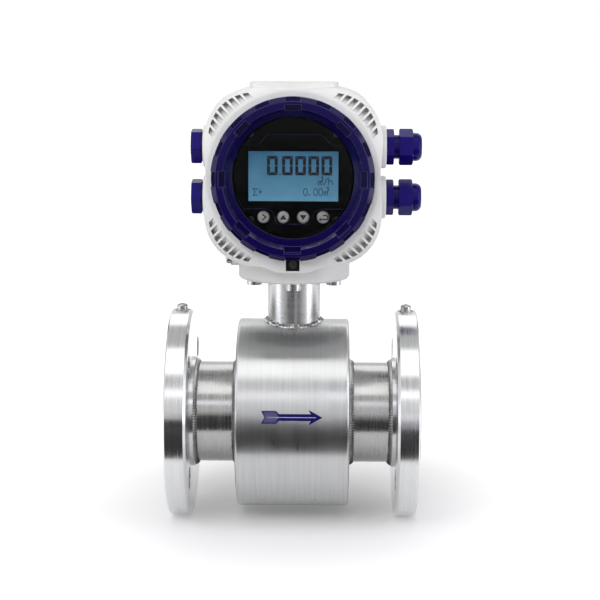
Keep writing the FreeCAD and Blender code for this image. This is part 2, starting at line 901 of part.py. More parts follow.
def key(at):
    """Push key: a cap in the panel, a flange behind it and a stem to the switch."""
    cap = lathe(Y, [
        (0, panel_y - key_proud),
        (key_d / 2 - key_chamfer, panel_y - key_proud),
        (key_d / 2, panel_y - key_proud + key_chamfer),
        (key_d / 2, panel_back),
        (0, panel_back),
    ], at)
    flange_stop = panel_back + key_flange_t
    collar_disc = rod(Y, key_flange_d / 2, panel_back, flange_stop, at)
    stem = rod(Y, key_stem_d / 2, flange_stop, key_stem_y, at)
    return cap.fuse([collar_disc, stem])


def key_switches():
    switches = []
    half = switch_w / 2
    for x, z in key_spots():
        body = block(x - half, x + half, display_board_y - switch_h, display_board_y,
                     z - half, z + half)
        tip = display_board_y - switch_h - plunger_h
        switches.append(body.fuse(rod(Y, plunger_d / 2, tip, display_board_y - switch_h, (x, z))))
    return switches


def board(y):
    disc = rod(Y, board_d / 2, y, y + board_t, (0, head_z))
    return disc.cut([rod(Y, post_screw_d / 2, y, y + board_t, at) for at in post_spots()])


def board_posts():
    posts = []
    levels = [
        (panel_back, display_board_y),
        (display_board_y + board_t, main_board_y),
        (main_board_y + board_t, partition_front),
    ]
    for at in post_spots():
        posts += [ring(Y, post_d / 2, post_screw_d / 2, y0, y1, at) for y0, y1 in levels]
    return posts


def post_screws():
    screws = []
    for at in post_spots():
        head = rod(Y, post_screw_head_d / 2, panel_y - post_screw_head_h, panel_y, at)
        shank = rod(Y, post_screw_d / 2, panel_y, partition_front + post_screw_bite, at)
        screws.append(head.fuse(shank))
    return screws


# ---- Terminals -------------------------------------------------------------
def terminal_spots():
    first = -(terminal_count - 1) / 2
    return [((first + k) * terminal_pitch, head_z) for k in range(terminal_count)]


def terminal_block():
    """Barrier strip on the rear of the partition, wires entering from below."""
    half_l = terminal_count * terminal_pitch / 2 + terminal_wall / 2
    half_h = terminal_h / 2
    seat = partition_rear + terminal_base_t
    tip = partition_rear + terminal_depth
    body = block(-half_l, half_l, partition_rear, tip, head_z - half_h, head_z + half_h)
    cuts = []
    for x, z in terminal_spots():
        half = (terminal_pitch - terminal_wall) / 2
        cuts.append(block(x - half, x + half, seat, tip, z - half_h, z + half_h))
        cuts.append(rod(Y, terminal_shank_d / 2, seat - terminal_screw_h, seat, (x, z)))
        wire_y = partition_rear + terminal_base_t / 2
        cuts.append(rod(Z, terminal_wire_d / 2, z - half_h, z - half_h / 2, (x, wire_y)))
    return body.cut(cuts)


def terminal_screws():
    screws = []
    seat = partition_rear + terminal_base_t
    top = seat + terminal_screw_h
    for at in terminal_spots():
        head = rod(Y, terminal_screw_d / 2, seat, top, at)
        shank = rod(Y, terminal_shank_d / 2, seat - terminal_screw_h, seat, at)
        half = terminal_slot_w / 2
        slot = block(at[0] - terminal_screw_d, at[0] + terminal_screw_d,
                     top - terminal_screw_h / 2, top, at[1] - half, at[1] + half)
        screws.append(head.cut(slot).fuse(shank))
    return screws


# ---- Glands and plugs ------------------------------------------------------
def gland_body(at):
    """Threaded body: hexagon on the boss, then the thread for the cap nut."""
    base = bevelled_hexagon(X, gland_hex_af, boss_reach, boss_reach + gland_hex_t,
                            gland_hex_bevel, at, gland_hex_turn)
    thread = rod(X, entry_r, boss_reach - gland_thread_l, boss_reach, at)
    neck_stop = boss_reach + gland_hex_t + gland_neck_l + gland_nut_overlap
    neck = rod(X, gland_neck_d / 2, boss_reach + gland_hex_t, neck_stop, at)
    bore = rod(X, gland_bore_d / 2, boss_reach - gland_thread_l, neck_stop, at)
    pocket = rod(X, gland_pocket_d / 2, boss_reach + gland_pocket_floor, neck_stop, at)
    return base.fuse([thread, neck]).cut([bore, pocket])


def gland_insert(at):
    """Rubber sleeve that the cap nut squeezes on the cable."""
    start = boss_reach + gland_pocket_floor
    outer = gland_pocket_d / 2 - insert_gap
    return ring(X, outer, insert_bore_d / 2, start, boss_reach + insert_end, at)


def gland_nut(at):
    foot = boss_reach + gland_hex_t + gland_neck_l
    hex_stop = foot + gland_nut_hex_l
    tip = hex_stop + gland_nut_dome_l
    nut = bevelled_hexagon(X, gland_nut_af, foot, hex_stop, gland_nut_bevel, at, gland_hex_turn)
    dome_r = gland_nut_dome_d / 2
    end_r = gland_nut_dome_end_d / 2
    dome = lathe(X, [
        (0, hex_stop - cut_margin),
        (dome_r, hex_stop - cut_margin),
        (dome_r, hex_stop + gland_nut_dome_side_l),
        ((gland_nut_dome_mid_d / 2, hex_stop + gland_nut_dome_mid_l), (end_r, tip)),
        (0, tip),
    ], at)
    thread_stop = foot + gland_nut_overlap + gland_nut_runout
    cuts = [
        rod(X, gland_neck_d / 2 + thread_clearance, foot, thread_stop, at),
        rod(X, gland_pocket_d / 2 + gland_nut_pocket_gap, thread_stop, boss_reach + insert_end, at),
        rod(X, gland_mouth_d / 2, foot, tip, at),
    ]
    return nut.fuse(dome).cut(cuts)


def plug(at):
    """Blanking plug with a hexagon head, screwed into an unused entry."""
    seat = -(boss_reach + plug_seal_t)
    tip = seat - plug_hex_t
    inner = -(boss_reach - plug_thread_l)
    head = bevelled_hexagon(X, plug_hex_af, seat, tip, plug_chamfer, at, plug_hex_turn)
    thread = rod(X, entry_r, inner, seat, at)
    hollow = rod(X, plug_socket_d / 2, inner, inner - plug_socket_depth, at)
    return head.fuse(thread).cut(hollow)


def plug_seal(at):
    return ring(X, plug_seal_d / 2, entry_r + thread_clearance,
                -boss_reach, -(boss_reach + plug_seal_t), at)


# ---- Assembly --------------------------------------------------------------
outlet = flange()
add("outlet_flange", outlet)
add("inlet_flange", mirrored(outlet, X))
add("measuring_tube", measuring_tube())
add("liner", liner())
add("coil_housing", drum())
plate = ring(X, drum_in_r, sleeve_r, end_plate_x - end_plate_t, end_plate_x)
add("end_plate_outlet", plate)
add("end_plate_inlet", mirrored(plate, X))
sleeve = ring(X, sleeve_r, sleeve_r - sleeve_wall, end_plate_x - end_plate_t, hub_x)
add("sleeve_outlet", sleeve)
add("sleeve_inlet", mirrored(sleeve, X))
add("weld_beads", *weld_beads())
add("electrode_front", electrode(-1))
add("electrode_rear", electrode(1))
add("electrode_insulators", insulator(-1), insulator(1))
add("pole_shoe_upper", pole_shoe())
add("pole_shoe_lower", mirrored(pole_shoe(), Z))
add("coil_upper", coil())
add("coil_lower", mirrored(coil(), Z))
add("magnet_yoke", ring(X, yoke_in_r + yoke_t, yoke_in_r, -yoke_l / 2, yoke_l / 2))
add("flow_arrow", flow_arrow())
earth_set = earth_screw_set()
add("flange_earth_screws", *earth_set, *[mirrored(solid, X) for solid in earth_set])

add("neck_tube", ring(Z, neck_r, neck_r - neck_wall, neck_foot_z, neck_gasket_z))
plate = ring(Z, neck_flange_d / 2, neck_r, neck_flange_z, neck_gasket_z)
holes = neck_bolt_holes(neck_bolt_d / 2, neck_flange_z, collar_ceiling)
add("neck_flange", plate.cut(holes))
plate = ring(Z, neck_flange_d / 2, neck_r - neck_wall, neck_gasket_z, collar_ceiling)
add("neck_gasket", plate.cut(holes))
add("neck_bolts", *neck_bolts())
harness_foot = yoke_in_r + yoke_t + harness_foot_gap
harness_top = head_z - head_bore_r + harness_top_gap
add("sensor_harness", rod(Z, harness_d / 2, harness_foot, harness_top, harness_at))

add("converter_housing", converter_housing())
add("housing_earth_screw", *screw_set(X, -lug_reach, (0, lug_z), -1))
add("cover_lock_screw", lock_screw())
add("front_cover", front_cover())
add("front_cover_seal", cover_seal(-1))
glass_r = cover_glass_bore_d / 2 - glass_gap
add("glass_gasket", cover_ring(glass_r, cover_window_d / 2, lip_back, glass_front))
add("front_glass", rod(Y, glass_r, -(head_face + glass_front), -(head_face + glass_back),
                       (0, head_z)))
add("glass_retainer", cover_ring(cover_glass_bore_d / 2, retainer_bore_d / 2,
                                 glass_back, -cover_spigot_l))
add("rear_cover", rear_cover())
add("rear_cover_seal", cover_seal(1))

add("display_panel", display_panel())
add("lcd_module", lcd_module())
for name, at in zip(("key_next", "key_up", "key_down", "key_enter"), key_spots()):
    add(name, key(at))
add("key_switches", *key_switches())
add("display_board", board(display_board_y))
add("main_board", board(main_board_y))
back = main_board_y + board_t
add("power_module", block(-power_module_x / 2, power_module_x / 2,
                          back, back + power_module_t,
                          head_z - power_module_z / 2, head_z + power_module_z / 2))
add("board_posts", *board_posts())
add("post_screws", *post_screws())
add("terminal_block", terminal_block())
add("terminal_screws", *terminal_screws())

for level, at in zip(("upper", "lower"), entry_spots()):
    add("gland_body_" + level, gland_body(at))
    add("gland_insert_" + level, gland_insert(at))
    add("gland_nut_" + level, gland_nut(at))
    add("plug_" + level, plug(at))
    add("plug_seal_" + level, plug_seal(at))

os.makedirs("parts", exist_ok=True)
for name, shape in parts.items():
    shape.exportStep("parts/" + name + ".step")
print(len(parts), "parts")
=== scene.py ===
"""Electromagnetic flow meter: materials, weld ripples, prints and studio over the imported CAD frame.

Metres. The frame is the row frame: the flow bore runs along X, Z is up and -Y is the display side.
"""

import json
import math
import random

import bpy
from mathutils import Matrix, Vector

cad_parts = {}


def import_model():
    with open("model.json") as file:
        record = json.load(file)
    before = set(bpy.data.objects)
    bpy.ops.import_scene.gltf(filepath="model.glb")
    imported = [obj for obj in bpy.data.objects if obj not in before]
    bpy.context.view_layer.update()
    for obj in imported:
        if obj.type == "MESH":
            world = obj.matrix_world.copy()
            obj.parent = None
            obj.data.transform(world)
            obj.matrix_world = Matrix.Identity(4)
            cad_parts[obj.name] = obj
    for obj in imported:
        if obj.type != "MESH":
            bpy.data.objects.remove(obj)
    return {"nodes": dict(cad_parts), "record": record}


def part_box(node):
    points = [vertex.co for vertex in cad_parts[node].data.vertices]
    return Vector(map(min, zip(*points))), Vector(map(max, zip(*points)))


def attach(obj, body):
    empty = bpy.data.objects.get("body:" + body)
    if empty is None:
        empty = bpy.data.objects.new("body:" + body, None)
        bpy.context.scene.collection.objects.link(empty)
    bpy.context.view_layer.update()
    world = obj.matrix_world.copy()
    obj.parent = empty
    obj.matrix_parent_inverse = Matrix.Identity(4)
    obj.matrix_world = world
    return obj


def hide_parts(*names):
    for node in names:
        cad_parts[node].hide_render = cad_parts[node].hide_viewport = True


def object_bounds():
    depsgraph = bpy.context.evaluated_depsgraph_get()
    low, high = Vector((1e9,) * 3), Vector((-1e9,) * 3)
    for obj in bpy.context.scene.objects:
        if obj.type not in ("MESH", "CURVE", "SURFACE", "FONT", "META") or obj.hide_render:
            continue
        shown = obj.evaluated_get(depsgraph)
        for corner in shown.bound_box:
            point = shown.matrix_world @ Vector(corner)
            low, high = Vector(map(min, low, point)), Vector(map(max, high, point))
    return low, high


MM = 0.001
X, Y, Z = 0, 1, 2
AXIS_NAMES = ("X", "Y", "Z")

# ---- Colours, linear -------------------------------------------------------
STEEL = (0.60, 0.605, 0.605)
# Painted shade: a darker copy of the steel for the sleeves, which the drum, flanges and head shade.
SHADED_SLEEVE_STEEL = (0.48, 0.48, 0.475)
# Painted light: a lighter copy of the steel for the flanges, for the brighter floor that they reflect below
# them.
LIT_RIM_STEEL = (0.71, 0.715, 0.72)
SCREW_STEEL = (0.50, 0.50, 0.50)
DARK_SCREW = (0.10, 0.10, 0.105)
WELD_STEEL = (0.76, 0.76, 0.75)
WELD_STRAW = (0.58, 0.56, 0.53)
# Painted shade laid in the grooves between weld ripples.
WELD_GROOVE_SHADE = (0.06, 0.06, 0.06)
CORE_IRON = (0.22, 0.22, 0.23)
COPPER_DARK = (0.30, 0.09, 0.03)
COPPER_LIGHT = (0.72, 0.30, 0.13)
POST_BRASS = (0.72, 0.52, 0.22)
LINER_WHITE = (0.74, 0.73, 0.70)
INSULATOR_WHITE = (0.66, 0.65, 0.60)
HOUSING_WHITE = (0.80, 0.80, 0.785)
COVER_VIOLET = (0.0046, 0.0015, 0.055)
# Painted highlight: a lighter violet laid along the cover's edges, where they would catch the light.
COVER_EDGE_HIGHLIGHT = (0.13, 0.11, 0.40)
GLAND_VIOLET = (0.0075, 0.0022, 0.125)
RUBBER_BLACK = (0.018, 0.018, 0.019)
CABLE_GREY = (0.07, 0.07, 0.075)
# Partly the lock clip's dark bracket, partly painted shade deep in the lock recess.
LOCK_BRACKET_AND_SHADE = (0.012, 0.012, 0.013)
MODULE_BLACK = (0.02, 0.02, 0.022)
SWITCH_BLACK = (0.03, 0.03, 0.03)
BOARD_GREEN = (0.015, 0.10, 0.035)
TERMINAL_GREEN = (0.05, 0.28, 0.11)
ARROW_BLUE = (0.008, 0.003, 0.10)
WHITE_PRINT = (0.55, 0.53, 0.68)
PANEL_BLACK = (0.0035, 0.0035, 0.004)
LINE_BLUE = (0.022, 0.018, 0.10)
LCD_TOP = (0.022, 0.105, 0.205)
LCD_FOOT = (0.11, 0.275, 0.42)
LCD_INK = (0.002, 0.002, 0.012)
KEY_SILVER = (0.66, 0.65, 0.61)
KEY_INK = (0.016, 0.012, 0.10)
CLEAR_GLASS = (0.97, 0.99, 0.98)
FLOOR_WHITE = (0.80, 0.80, 0.80)
CARD_BLACK = (0.01, 0.01, 0.01)
WHITE = (1.0, 1.0, 1.0)


# ---- Shader helpers --------------------------------------------------------
class Shader:
    """A node material with one principled surface, built one node at a time."""

    def __init__(self, name):
        self.material = bpy.data.materials.new(name)
        self.material.use_nodes = True
        self.tree = self.material.node_tree
        self.tree.nodes.clear()
        self.output = self.tree.nodes.new("ShaderNodeOutputMaterial")
        self.surface = self.tree.nodes.new("ShaderNodeBsdfPrincipled")
        self.tree.links.new(self.surface.outputs[0], self.output.inputs["Surface"])
        coordinates = self.tree.nodes.new("ShaderNodeTexCoord")
        self.position = coordinates.outputs["Object"]

    def feed(self, socket, value):
        if isinstance(value, bpy.types.NodeSocket):
            self.tree.links.new(value, socket)
        elif socket.type == "RGBA" and len(value) == 3:
            socket.default_value = (*value, 1.0)
        else:
            socket.default_value = value

    def node(self, kind, inputs, **settings):
        made = self.tree.nodes.new(kind)
        for key, value in settings.items():
            setattr(made, key, value)
        for key, value in inputs.items():
            self.feed(made.inputs[key], value)
        return made

    def math(self, operation, a, b=0.0):
        return self.node("ShaderNodeMath", {0: a, 1: b}, operation=operation).outputs[0]

    def scaled(self, vector, factors):
        made = self.node("ShaderNodeVectorMath", {0: vector, 1: factors}, operation="MULTIPLY")
        return made.outputs[0]

    def noise(self, vector, scale, detail=3.0):
        made = self.node("ShaderNodeTexNoise", {"Vector": vector, "Scale": scale, "Detail": detail})
        return made.outputs[0]

    def spread(self, value, low, high, start=0.3, stop=0.7):
        inputs = {0: value, 1: start, 2: stop, 3: low, 4: high}
        return self.node("ShaderNodeMapRange", inputs).outputs[0]

    def mix(self, factor, a, b):
        made = self.node("ShaderNodeMix", {0: factor, 6: a, 7: b}, data_type="RGBA")
        return made.outputs[2]

    def tinted(self, colour, factor, amount):
        """The colour, made darker and lighter by an amount as the factor goes from 0 to 1."""
        low = tuple(c * (1 - amount) for c in colour)
        high = tuple(min(1.0, c * (1 + amount)) for c in colour)
        return self.mix(factor, (*low, 1.0), (*high, 1.0))

    def bump(self, height, depth, strength=1.0, edge=0.0):
        inputs = {"Height": height, "Distance": depth, "Strength": strength}
        if edge:
            rounded = self.node("ShaderNodeBevel", {"Radius": edge}, samples=4)
            inputs["Normal"] = rounded.outputs[0]
        self.feed(self.surface.inputs["Normal"], self.node("ShaderNodeBump", inputs).outputs[0])

    def edges(self, radius, low=0.78, high=0.97):
        """1 on a corner between two faces and 0 away from it."""
        rounded = self.node("ShaderNodeBevel", {"Radius": radius}, samples=6).outputs[0]
        true = self.node("ShaderNodeNewGeometry", {}).outputs["Normal"]
        likeness = self.node("ShaderNodeVectorMath", {0: rounded, 1: true}, operation="DOT_PRODUCT")
        return self.spread(likeness.outputs[1], 1.0, 0.0, low, high)

    def finish(self, **values):
        names = {"colour": "Base Color", "rough": "Roughness", "metal": "Metallic",
                 "aniso": "Anisotropic", "turn": "Anisotropic Rotation", "tangent": "Tangent",
                 "glow": "Emission Color", "glow_strength": "Emission Strength",
                 "ior": "IOR", "clear": "Transmission Weight", "specular": "Specular IOR Level"}
        for key, value in values.items():
            self.feed(self.surface.inputs[names[key]], value)
        return self.material


def turned_travel(shader, axis):
    """Grows along the axis and outwards from it, so its lines run round every turned face."""
    split = shader.node("ShaderNodeSeparateXYZ", {0: shader.position}).outputs
    a, b = [split[k] for k in (X, Y, Z) if k != axis]
    squares = shader.math("ADD", shader.math("MULTIPLY", a, a), shader.math("MULTIPLY", b, b))
    radius = shader.math("SQRT", squares)
    return shader.math("ADD", split[axis], radius), a, b


# ---- Materials -------------------------------------------------------------
def turned_steel(name, axis, rough, aniso, groove=2.0 * MM, tint=STEEL, edge=0.25 * MM):
    """Stainless steel with fine lines round an axis and faint wider turning marks."""
    shader = Shader(name)
    travel, a, b = turned_travel(shader, axis)
    fine_pitch, drift = 0.35 * MM, 9.0
    fine_share, wide_share = 0.55, 0.45
    cloud_scale, tint_spread = 38.0, 0.06
    line_depth, line_strength = 0.02 * MM, 0.40
    fine_place = shader.node("ShaderNodeCombineXYZ", {
        0: shader.math("MULTIPLY", travel, 1 / fine_pitch),
        1: shader.math("MULTIPLY", a, drift), 2: shader.math("MULTIPLY", b, drift)}).outputs[0]
    wide_place = shader.node("ShaderNodeCombineXYZ", {
        0: shader.math("MULTIPLY", travel, 1 / groove),
        1: shader.math("MULTIPLY", a, drift * 2), 2: shader.math("MULTIPLY", b, drift * 2)}).outputs[0]
    fine = shader.noise(fine_place, 1.0, 4.0)
    wide = shader.noise(wide_place, 1.0, 2.0)
    cloud = shader.noise(shader.position, cloud_scale, 4.0)
    lines = shader.math("ADD", shader.math("MULTIPLY", fine, fine_share),
                        shader.math("MULTIPLY", wide, wide_share))
    colour = shader.tinted(tint, shader.spread(lines, 0.0, 1.0, 0.38, 0.62), tint_spread)
    roughness = shader.math("ADD", shader.spread(lines, rough - 0.06, rough + 0.07),
                            shader.spread(cloud, -0.04, 0.05))
    shader.bump(lines, line_depth, line_strength, edge)
    tangent = shader.node("ShaderNodeTangent", {}, direction_type="RADIAL", axis=AXIS_NAMES[axis])
    return shader.finish(colour=colour, rough=roughness, metal=1.0, aniso=aniso, turn=0.25,
                         tangent=tangent.outputs[0])


def plain_metal(name, tint, rough, grain=0.6 * MM, edge=0.2 * MM):
    """Bare or plated metal with a fine even grain."""
    shader = Shader(name)
    cloud_scale, grain_depth, grain_strength = 120.0, 0.03 * MM, 0.6
    grains = shader.noise(shader.position, 1 / grain, 4.0)
    cloud = shader.noise(shader.position, cloud_scale, 3.0)
    colour = shader.tinted(tint, shader.spread(cloud, 0.0, 1.0), 0.10)
    shader.bump(grains, grain_depth, grain_strength, edge)
    return shader.finish(colour=colour, rough=shader.spread(grains, rough - 0.07, rough + 0.08),
                         metal=1.0)


def weld_metal(name, ripples):
    """Bead metal: silver with faint straw tints, a pitted skin and painted shade in the grooves between its
    ripples.
    """
    shader = Shader(name)
    blotch_scale, pit_scale, pit_depth, pit_strength = 160.0, 1400.0, 0.08 * MM, 0.7
    groove_shade_start, groove_shade_stop, groove_shade_share = 0.03, 0.20, 0.85
    blotch = shader.noise(shader.position, blotch_scale, 3.0)
    pits = shader.noise(shader.position, pit_scale, 4.0)
    straw_and_groove_shade = shader.mix(shader.spread(blotch, 0.0, 0.4), (*WELD_STEEL, 1.0), (*WELD_STRAW, 1.0))
    split = shader.node("ShaderNodeSeparateXYZ", {0: shader.position}).outputs
    turn = shader.math("MULTIPLY", shader.math("ARCTAN2", split[Z], split[Y]), ripples / (2 * math.pi))
    # Painted shade: a near-black band once per ripple round the flow axis darkens the grooves between
    # ripples.
    groove_shade = shader.spread(shader.math("PINGPONG", turn, 0.5), 1.0, 0.0, groove_shade_start, groove_shade_stop)
    straw_and_groove_shade = shader.mix(shader.math("MULTIPLY", groove_shade, groove_shade_share), straw_and_groove_shade, (*WELD_GROOVE_SHADE, 1.0))
    shader.bump(pits, pit_depth, pit_strength)
    return shader.finish(colour=straw_and_groove_shade, rough=shader.spread(pits, 0.20, 0.38), metal=1.0)


def powder_coat(name, colour, rough, peel=1.3 * MM, depth=0.05 * MM, edge=0.6 * MM, mottle=0.03,
                specular=0.5, edge_highlight_colour=None):
    """Sprayed coating: an orange-peel skin with fine grain and soft edges, with an optional painted highlight
    that lightens the colour along its edges.
    """
    shader = Shader(name)
    fine_grain, lit_edge, cloud_scale = 0.3 * MM, 0.6 * MM, 45.0
    peel_share, grain_share, skin_strength = 0.8, 0.2, 0.6
    skin = shader.noise(shader.position, 1 / peel, 3.0)
    grain = shader.noise(shader.position, 1 / fine_grain, 2.0)
    cloud = shader.noise(shader.position, cloud_scale, 3.0)
    height = shader.math("ADD", shader.math("MULTIPLY", skin, peel_share),
                         shader.math("MULTIPLY", grain, grain_share))
    tone = shader.tinted(colour, shader.spread(cloud, 0.0, 1.0), mottle)
    # Painted highlight: the colour turns lighter along the corners between faces, as if the edges caught the
    # light.
    if edge_highlight_colour:
        tone = shader.mix(shader.edges(lit_edge), tone, (*edge_highlight_colour, 1.0))
    shader.bump(height, depth, skin_strength, edge)
    return shader.finish(colour=tone, rough=shader.spread(grain, rough - 0.05, rough + 0.06),
                         specular=specular)


def moulded(name, colour, rough, grain=0.5 * MM, depth=0.02 * MM, edge=0.3 * MM, specular=0.5):
    """Moulded plastic, rubber or print: fine even grain with faint flow clouds."""
    shader = Shader(name)
    cloud_scale, grain_strength = 90.0, 0.6
    grains = shader.noise(shader.position, 1 / grain, 3.0)
    cloud = shader.noise(shader.position, cloud_scale, 3.0)
    tone = shader.tinted(colour, shader.spread(cloud, 0.0, 1.0), 0.08)
    shader.bump(grains, depth, grain_strength, edge)
    return shader.finish(colour=tone, rough=shader.spread(grains, rough - 0.05, rough + 0.07),
                         specular=specular)


def window_glass(name):
    """Clear glass with faint wiping marks."""
    shader = Shader(name)
    smear_stretch, smear_scale, smear_depth, smear_strength = (1.0, 1.0, 2.5), 55.0, 0.004 * MM, 0.4
    smear = shader.noise(shader.scaled(shader.position, smear_stretch), smear_scale, 4.0)
    shader.bump(smear, smear_depth, smear_strength)
    return shader.finish(colour=CLEAR_GLASS, rough=shader.spread(smear, 0.0, 0.03), clear=1.0, ior=1.5)


def lcd_backlight(name, low, high):
    """Blue backlit cell: brighter towards its foot, with the faint weave of the polariser."""
    shader = Shader(name)
    cloud_scale, cloud_swing, glow = 60.0, 0.12, 0.55
    weave_pitch, weave_depth, weave_strength = 0.25 * MM, 0.006 * MM, 0.4
    height = shader.node("ShaderNodeSeparateXYZ", {0: shader.position}).outputs[Z]
    climb = shader.spread(height, 0.0, 1.0, low, high)
    cloud = shader.noise(shader.position, cloud_scale, 3.0)
    blend = shader.math("ADD", climb, shader.spread(cloud, -cloud_swing, cloud_swing))
    tone = shader.mix(blend, (*LCD_FOOT, 1.0), (*LCD_TOP, 1.0))
    weave = shader.noise(shader.position, 1 / weave_pitch, 1.0)
    shader.bump(weave, weave_depth, weave_strength)
    return shader.finish(colour=tone, rough=shader.spread(weave, 0.25, 0.35), glow=tone,
                         glow_strength=glow)


def copper_winding(name):
    """Enamelled wire, laid in even turns."""
    shader = Shader(name)
    wire_scale, wire_bend, wire_depth, wire_strength = 320.0, 0.6, 0.15 * MM, 0.8
    wave = shader.node("ShaderNodeTexWave", {"Vector": shader.position, "Scale": wire_scale,
                                             "Distortion": wire_bend, "Detail": 1.0},
                       wave_type="BANDS", bands_direction="Z").outputs[1]
    tone = shader.mix(wave, (*COPPER_DARK, 1.0), (*COPPER_LIGHT, 1.0))
    shader.bump(wave, wire_depth, wire_strength)
    return shader.finish(colour=tone, rough=shader.spread(wave, 0.25, 0.4), metal=1.0)


def ripples_round(radius):
    """How many weld ripples go round a sleeve of this radius."""
    return round(2 * math.pi * radius / BEAD_PITCH)


def slot_materials(box_of):
    """One node material for each slot in the record, apart from the steel, which goes by its axis."""
    lcd_low, lcd_high = box_of("lcd_module")
    return {
        "liner": moulded("liner_white", LINER_WHITE, rough=0.35),
        "weld": weld_metal("weld_metal", ripples_round(box_of("sleeve_outlet")[1].z)),
        "insulator": moulded("insulator_white", INSULATOR_WHITE, rough=0.4),
        "iron": plain_metal("core_iron", CORE_IRON, rough=0.5),
        "copper": copper_winding("copper_winding"),
        "arrow_print": moulded("arrow_blue", ARROW_BLUE, rough=0.38, edge=0.0, specular=0.15),
        "screw_steel": plain_metal("screw_steel", SCREW_STEEL, rough=0.26),
        "rubber": moulded("rubber_black", RUBBER_BLACK, rough=0.6, grain=0.35 * MM, depth=0.04 * MM),
        "cable": moulded("cable_grey", CABLE_GREY, rough=0.5),
        "housing_paint": powder_coat("housing_white", HOUSING_WHITE, rough=0.42),
        "dark_screw": plain_metal("dark_screw", DARK_SCREW, rough=0.30),
        "cover_paint": powder_coat("cover_violet", COVER_VIOLET, rough=0.16, peel=0.9 * MM,
                                   depth=0.012 * MM, edge=0.5 * MM, mottle=0.06, specular=0.20,
                                   edge_highlight_colour=COVER_EDGE_HIGHLIGHT),
        "window_glass": window_glass("window_glass"),
        "module": moulded("module_black", MODULE_BLACK, rough=0.45),
        "panel": moulded("panel_black", PANEL_BLACK, rough=0.13, grain=0.3 * MM, depth=0.001 * MM,
                         specular=0.3),
        "lcd": lcd_backlight("lcd_backlight", lcd_low.z, lcd_high.z),
        "key_metal": plain_metal("key_silver", KEY_SILVER, rough=0.34, grain=0.25 * MM, edge=0.35 * MM),
        "switch": moulded("switch_black", SWITCH_BLACK, rough=0.5),
        "board": moulded("board_green", BOARD_GREEN, rough=0.35, grain=1.5 * MM, depth=0.05 * MM),
        "post_brass": plain_metal("post_brass", POST_BRASS, rough=0.32),
        "terminal": moulded("terminal_green", TERMINAL_GREEN, rough=0.42),
        "gland_plastic": moulded("gland_violet", GLAND_VIOLET, rough=0.20, grain=0.6 * MM,
                                 depth=0.01 * MM, edge=0.5 * MM, specular=0.13),
    }


NECK_NODES = ("neck_tube", "neck_flange")
SLEEVE_NODES = ("sleeve_outlet", "sleeve_inlet", "measuring_tube")
PIN_NODES = ("electrode_front", "electrode_rear")


def dress_frame(frame):
    """Gives each CAD node the material of its slot."""
    by_slot = slot_materials(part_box)
    drum = turned_steel("drum_steel", X, rough=0.33, aniso=0.7)
    # Painted light: the flanges take a lighter copy of the same steel, for the brighter floor they reflect.
    rim = turned_steel("lit_flange_steel", X, rough=0.22, aniso=0.6, groove=1.2 * MM, tint=LIT_RIM_STEEL)
    # Painted shade: the sleeves take a darker copy of the same steel, for the shade that falls on them.
    sleeve = turned_steel("shaded_sleeve_steel", X, rough=0.24, aniso=0.55, groove=1.5 * MM, tint=SHADED_SLEEVE_STEEL)
    neck = turned_steel("neck_steel", Z, rough=0.28, aniso=0.4, groove=3.0 * MM)
    pin = plain_metal("electrode_steel", STEEL, rough=0.22)
    for row in frame["record"]["subparts"]:
        node, slot = row["node"], row["material_slot"]
        if slot != "steel":
            material = by_slot[slot]
        elif node in NECK_NODES:
            material = neck
        elif node in SLEEVE_NODES:
            material = sleeve
        elif node in PIN_NODES:
            material = pin
        elif "flange" in node:
            material = rim
        else:
            material = drum
        mesh = frame["nodes"][node].data
        mesh.materials.clear()
        mesh.materials.append(material)
    return by_slot


# ---- Mesh helpers ----------------------------------------------------------
def add_mesh(name, points, faces, material, body, smooth=False):
    mesh = bpy.data.meshes.new(name)
    mesh.from_pydata([tuple(p) for p in points], [], faces)
    mesh.materials.append(material)
    mesh.update()
    if smooth:
        mesh.shade_smooth()
    made = bpy.data.objects.new(name, mesh)
    bpy.context.scene.collection.objects.link(made)
    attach(made, body)
    return made


class Sheet:
    """Gathers thin flat pieces drawn in two coordinates and set on a surface by a placing function."""

    def __init__(self, place):
        self.place = place
        self.points = []
        self.faces = []

    def plate(self, outline, low, high):
        """A convex flat piece with a thickness. Its outline goes anticlockwise as (u, v) points."""
        start, count = len(self.points), len(outline)
        for level in (low, high):
            self.points += [self.place(u, v, level) for u, v in outline]
        self.faces.append([start + count + k for k in range(count)])
        self.faces.append([start + k for k in reversed(range(count))])
        for k in range(count):
            after = (k + 1) % count
            self.faces.append([start + k, start + after, start + count + after, start + count + k])

    def stroke(self, path, width, low, high, closed=False):
        """A line of even width along a path, mitred at its corners."""
        count = len(path)
        left, right = [], []
        for k, (u, v) in enumerate(path):
            before = path[k - 1] if closed or k else None
            after = path[(k + 1) % count] if closed or k < count - 1 else None
            ways = []
            if before is not None:
                ways.append(unit(u - before[0], v - before[1]))
            if after is not None:
                ways.append(unit(after[0] - u, after[1] - v))
            du, dv = unit(sum(w[0] for w in ways), sum(w[1] for w in ways))
            lean = max(0.4, du * ways[0][0] + dv * ways[0][1])
            half = width / 2 / lean
            left.append((u - dv * half, v + du * half))
            right.append((u + dv * half, v - du * half))
        for k in range(count if closed else count - 1):
            after = (k + 1) % count
            self.plate([right[k], right[after], left[after], left[k]], low, high)


def unit(du, dv):
    length = math.hypot(du, dv) or 1.0
    return du / length, dv / length


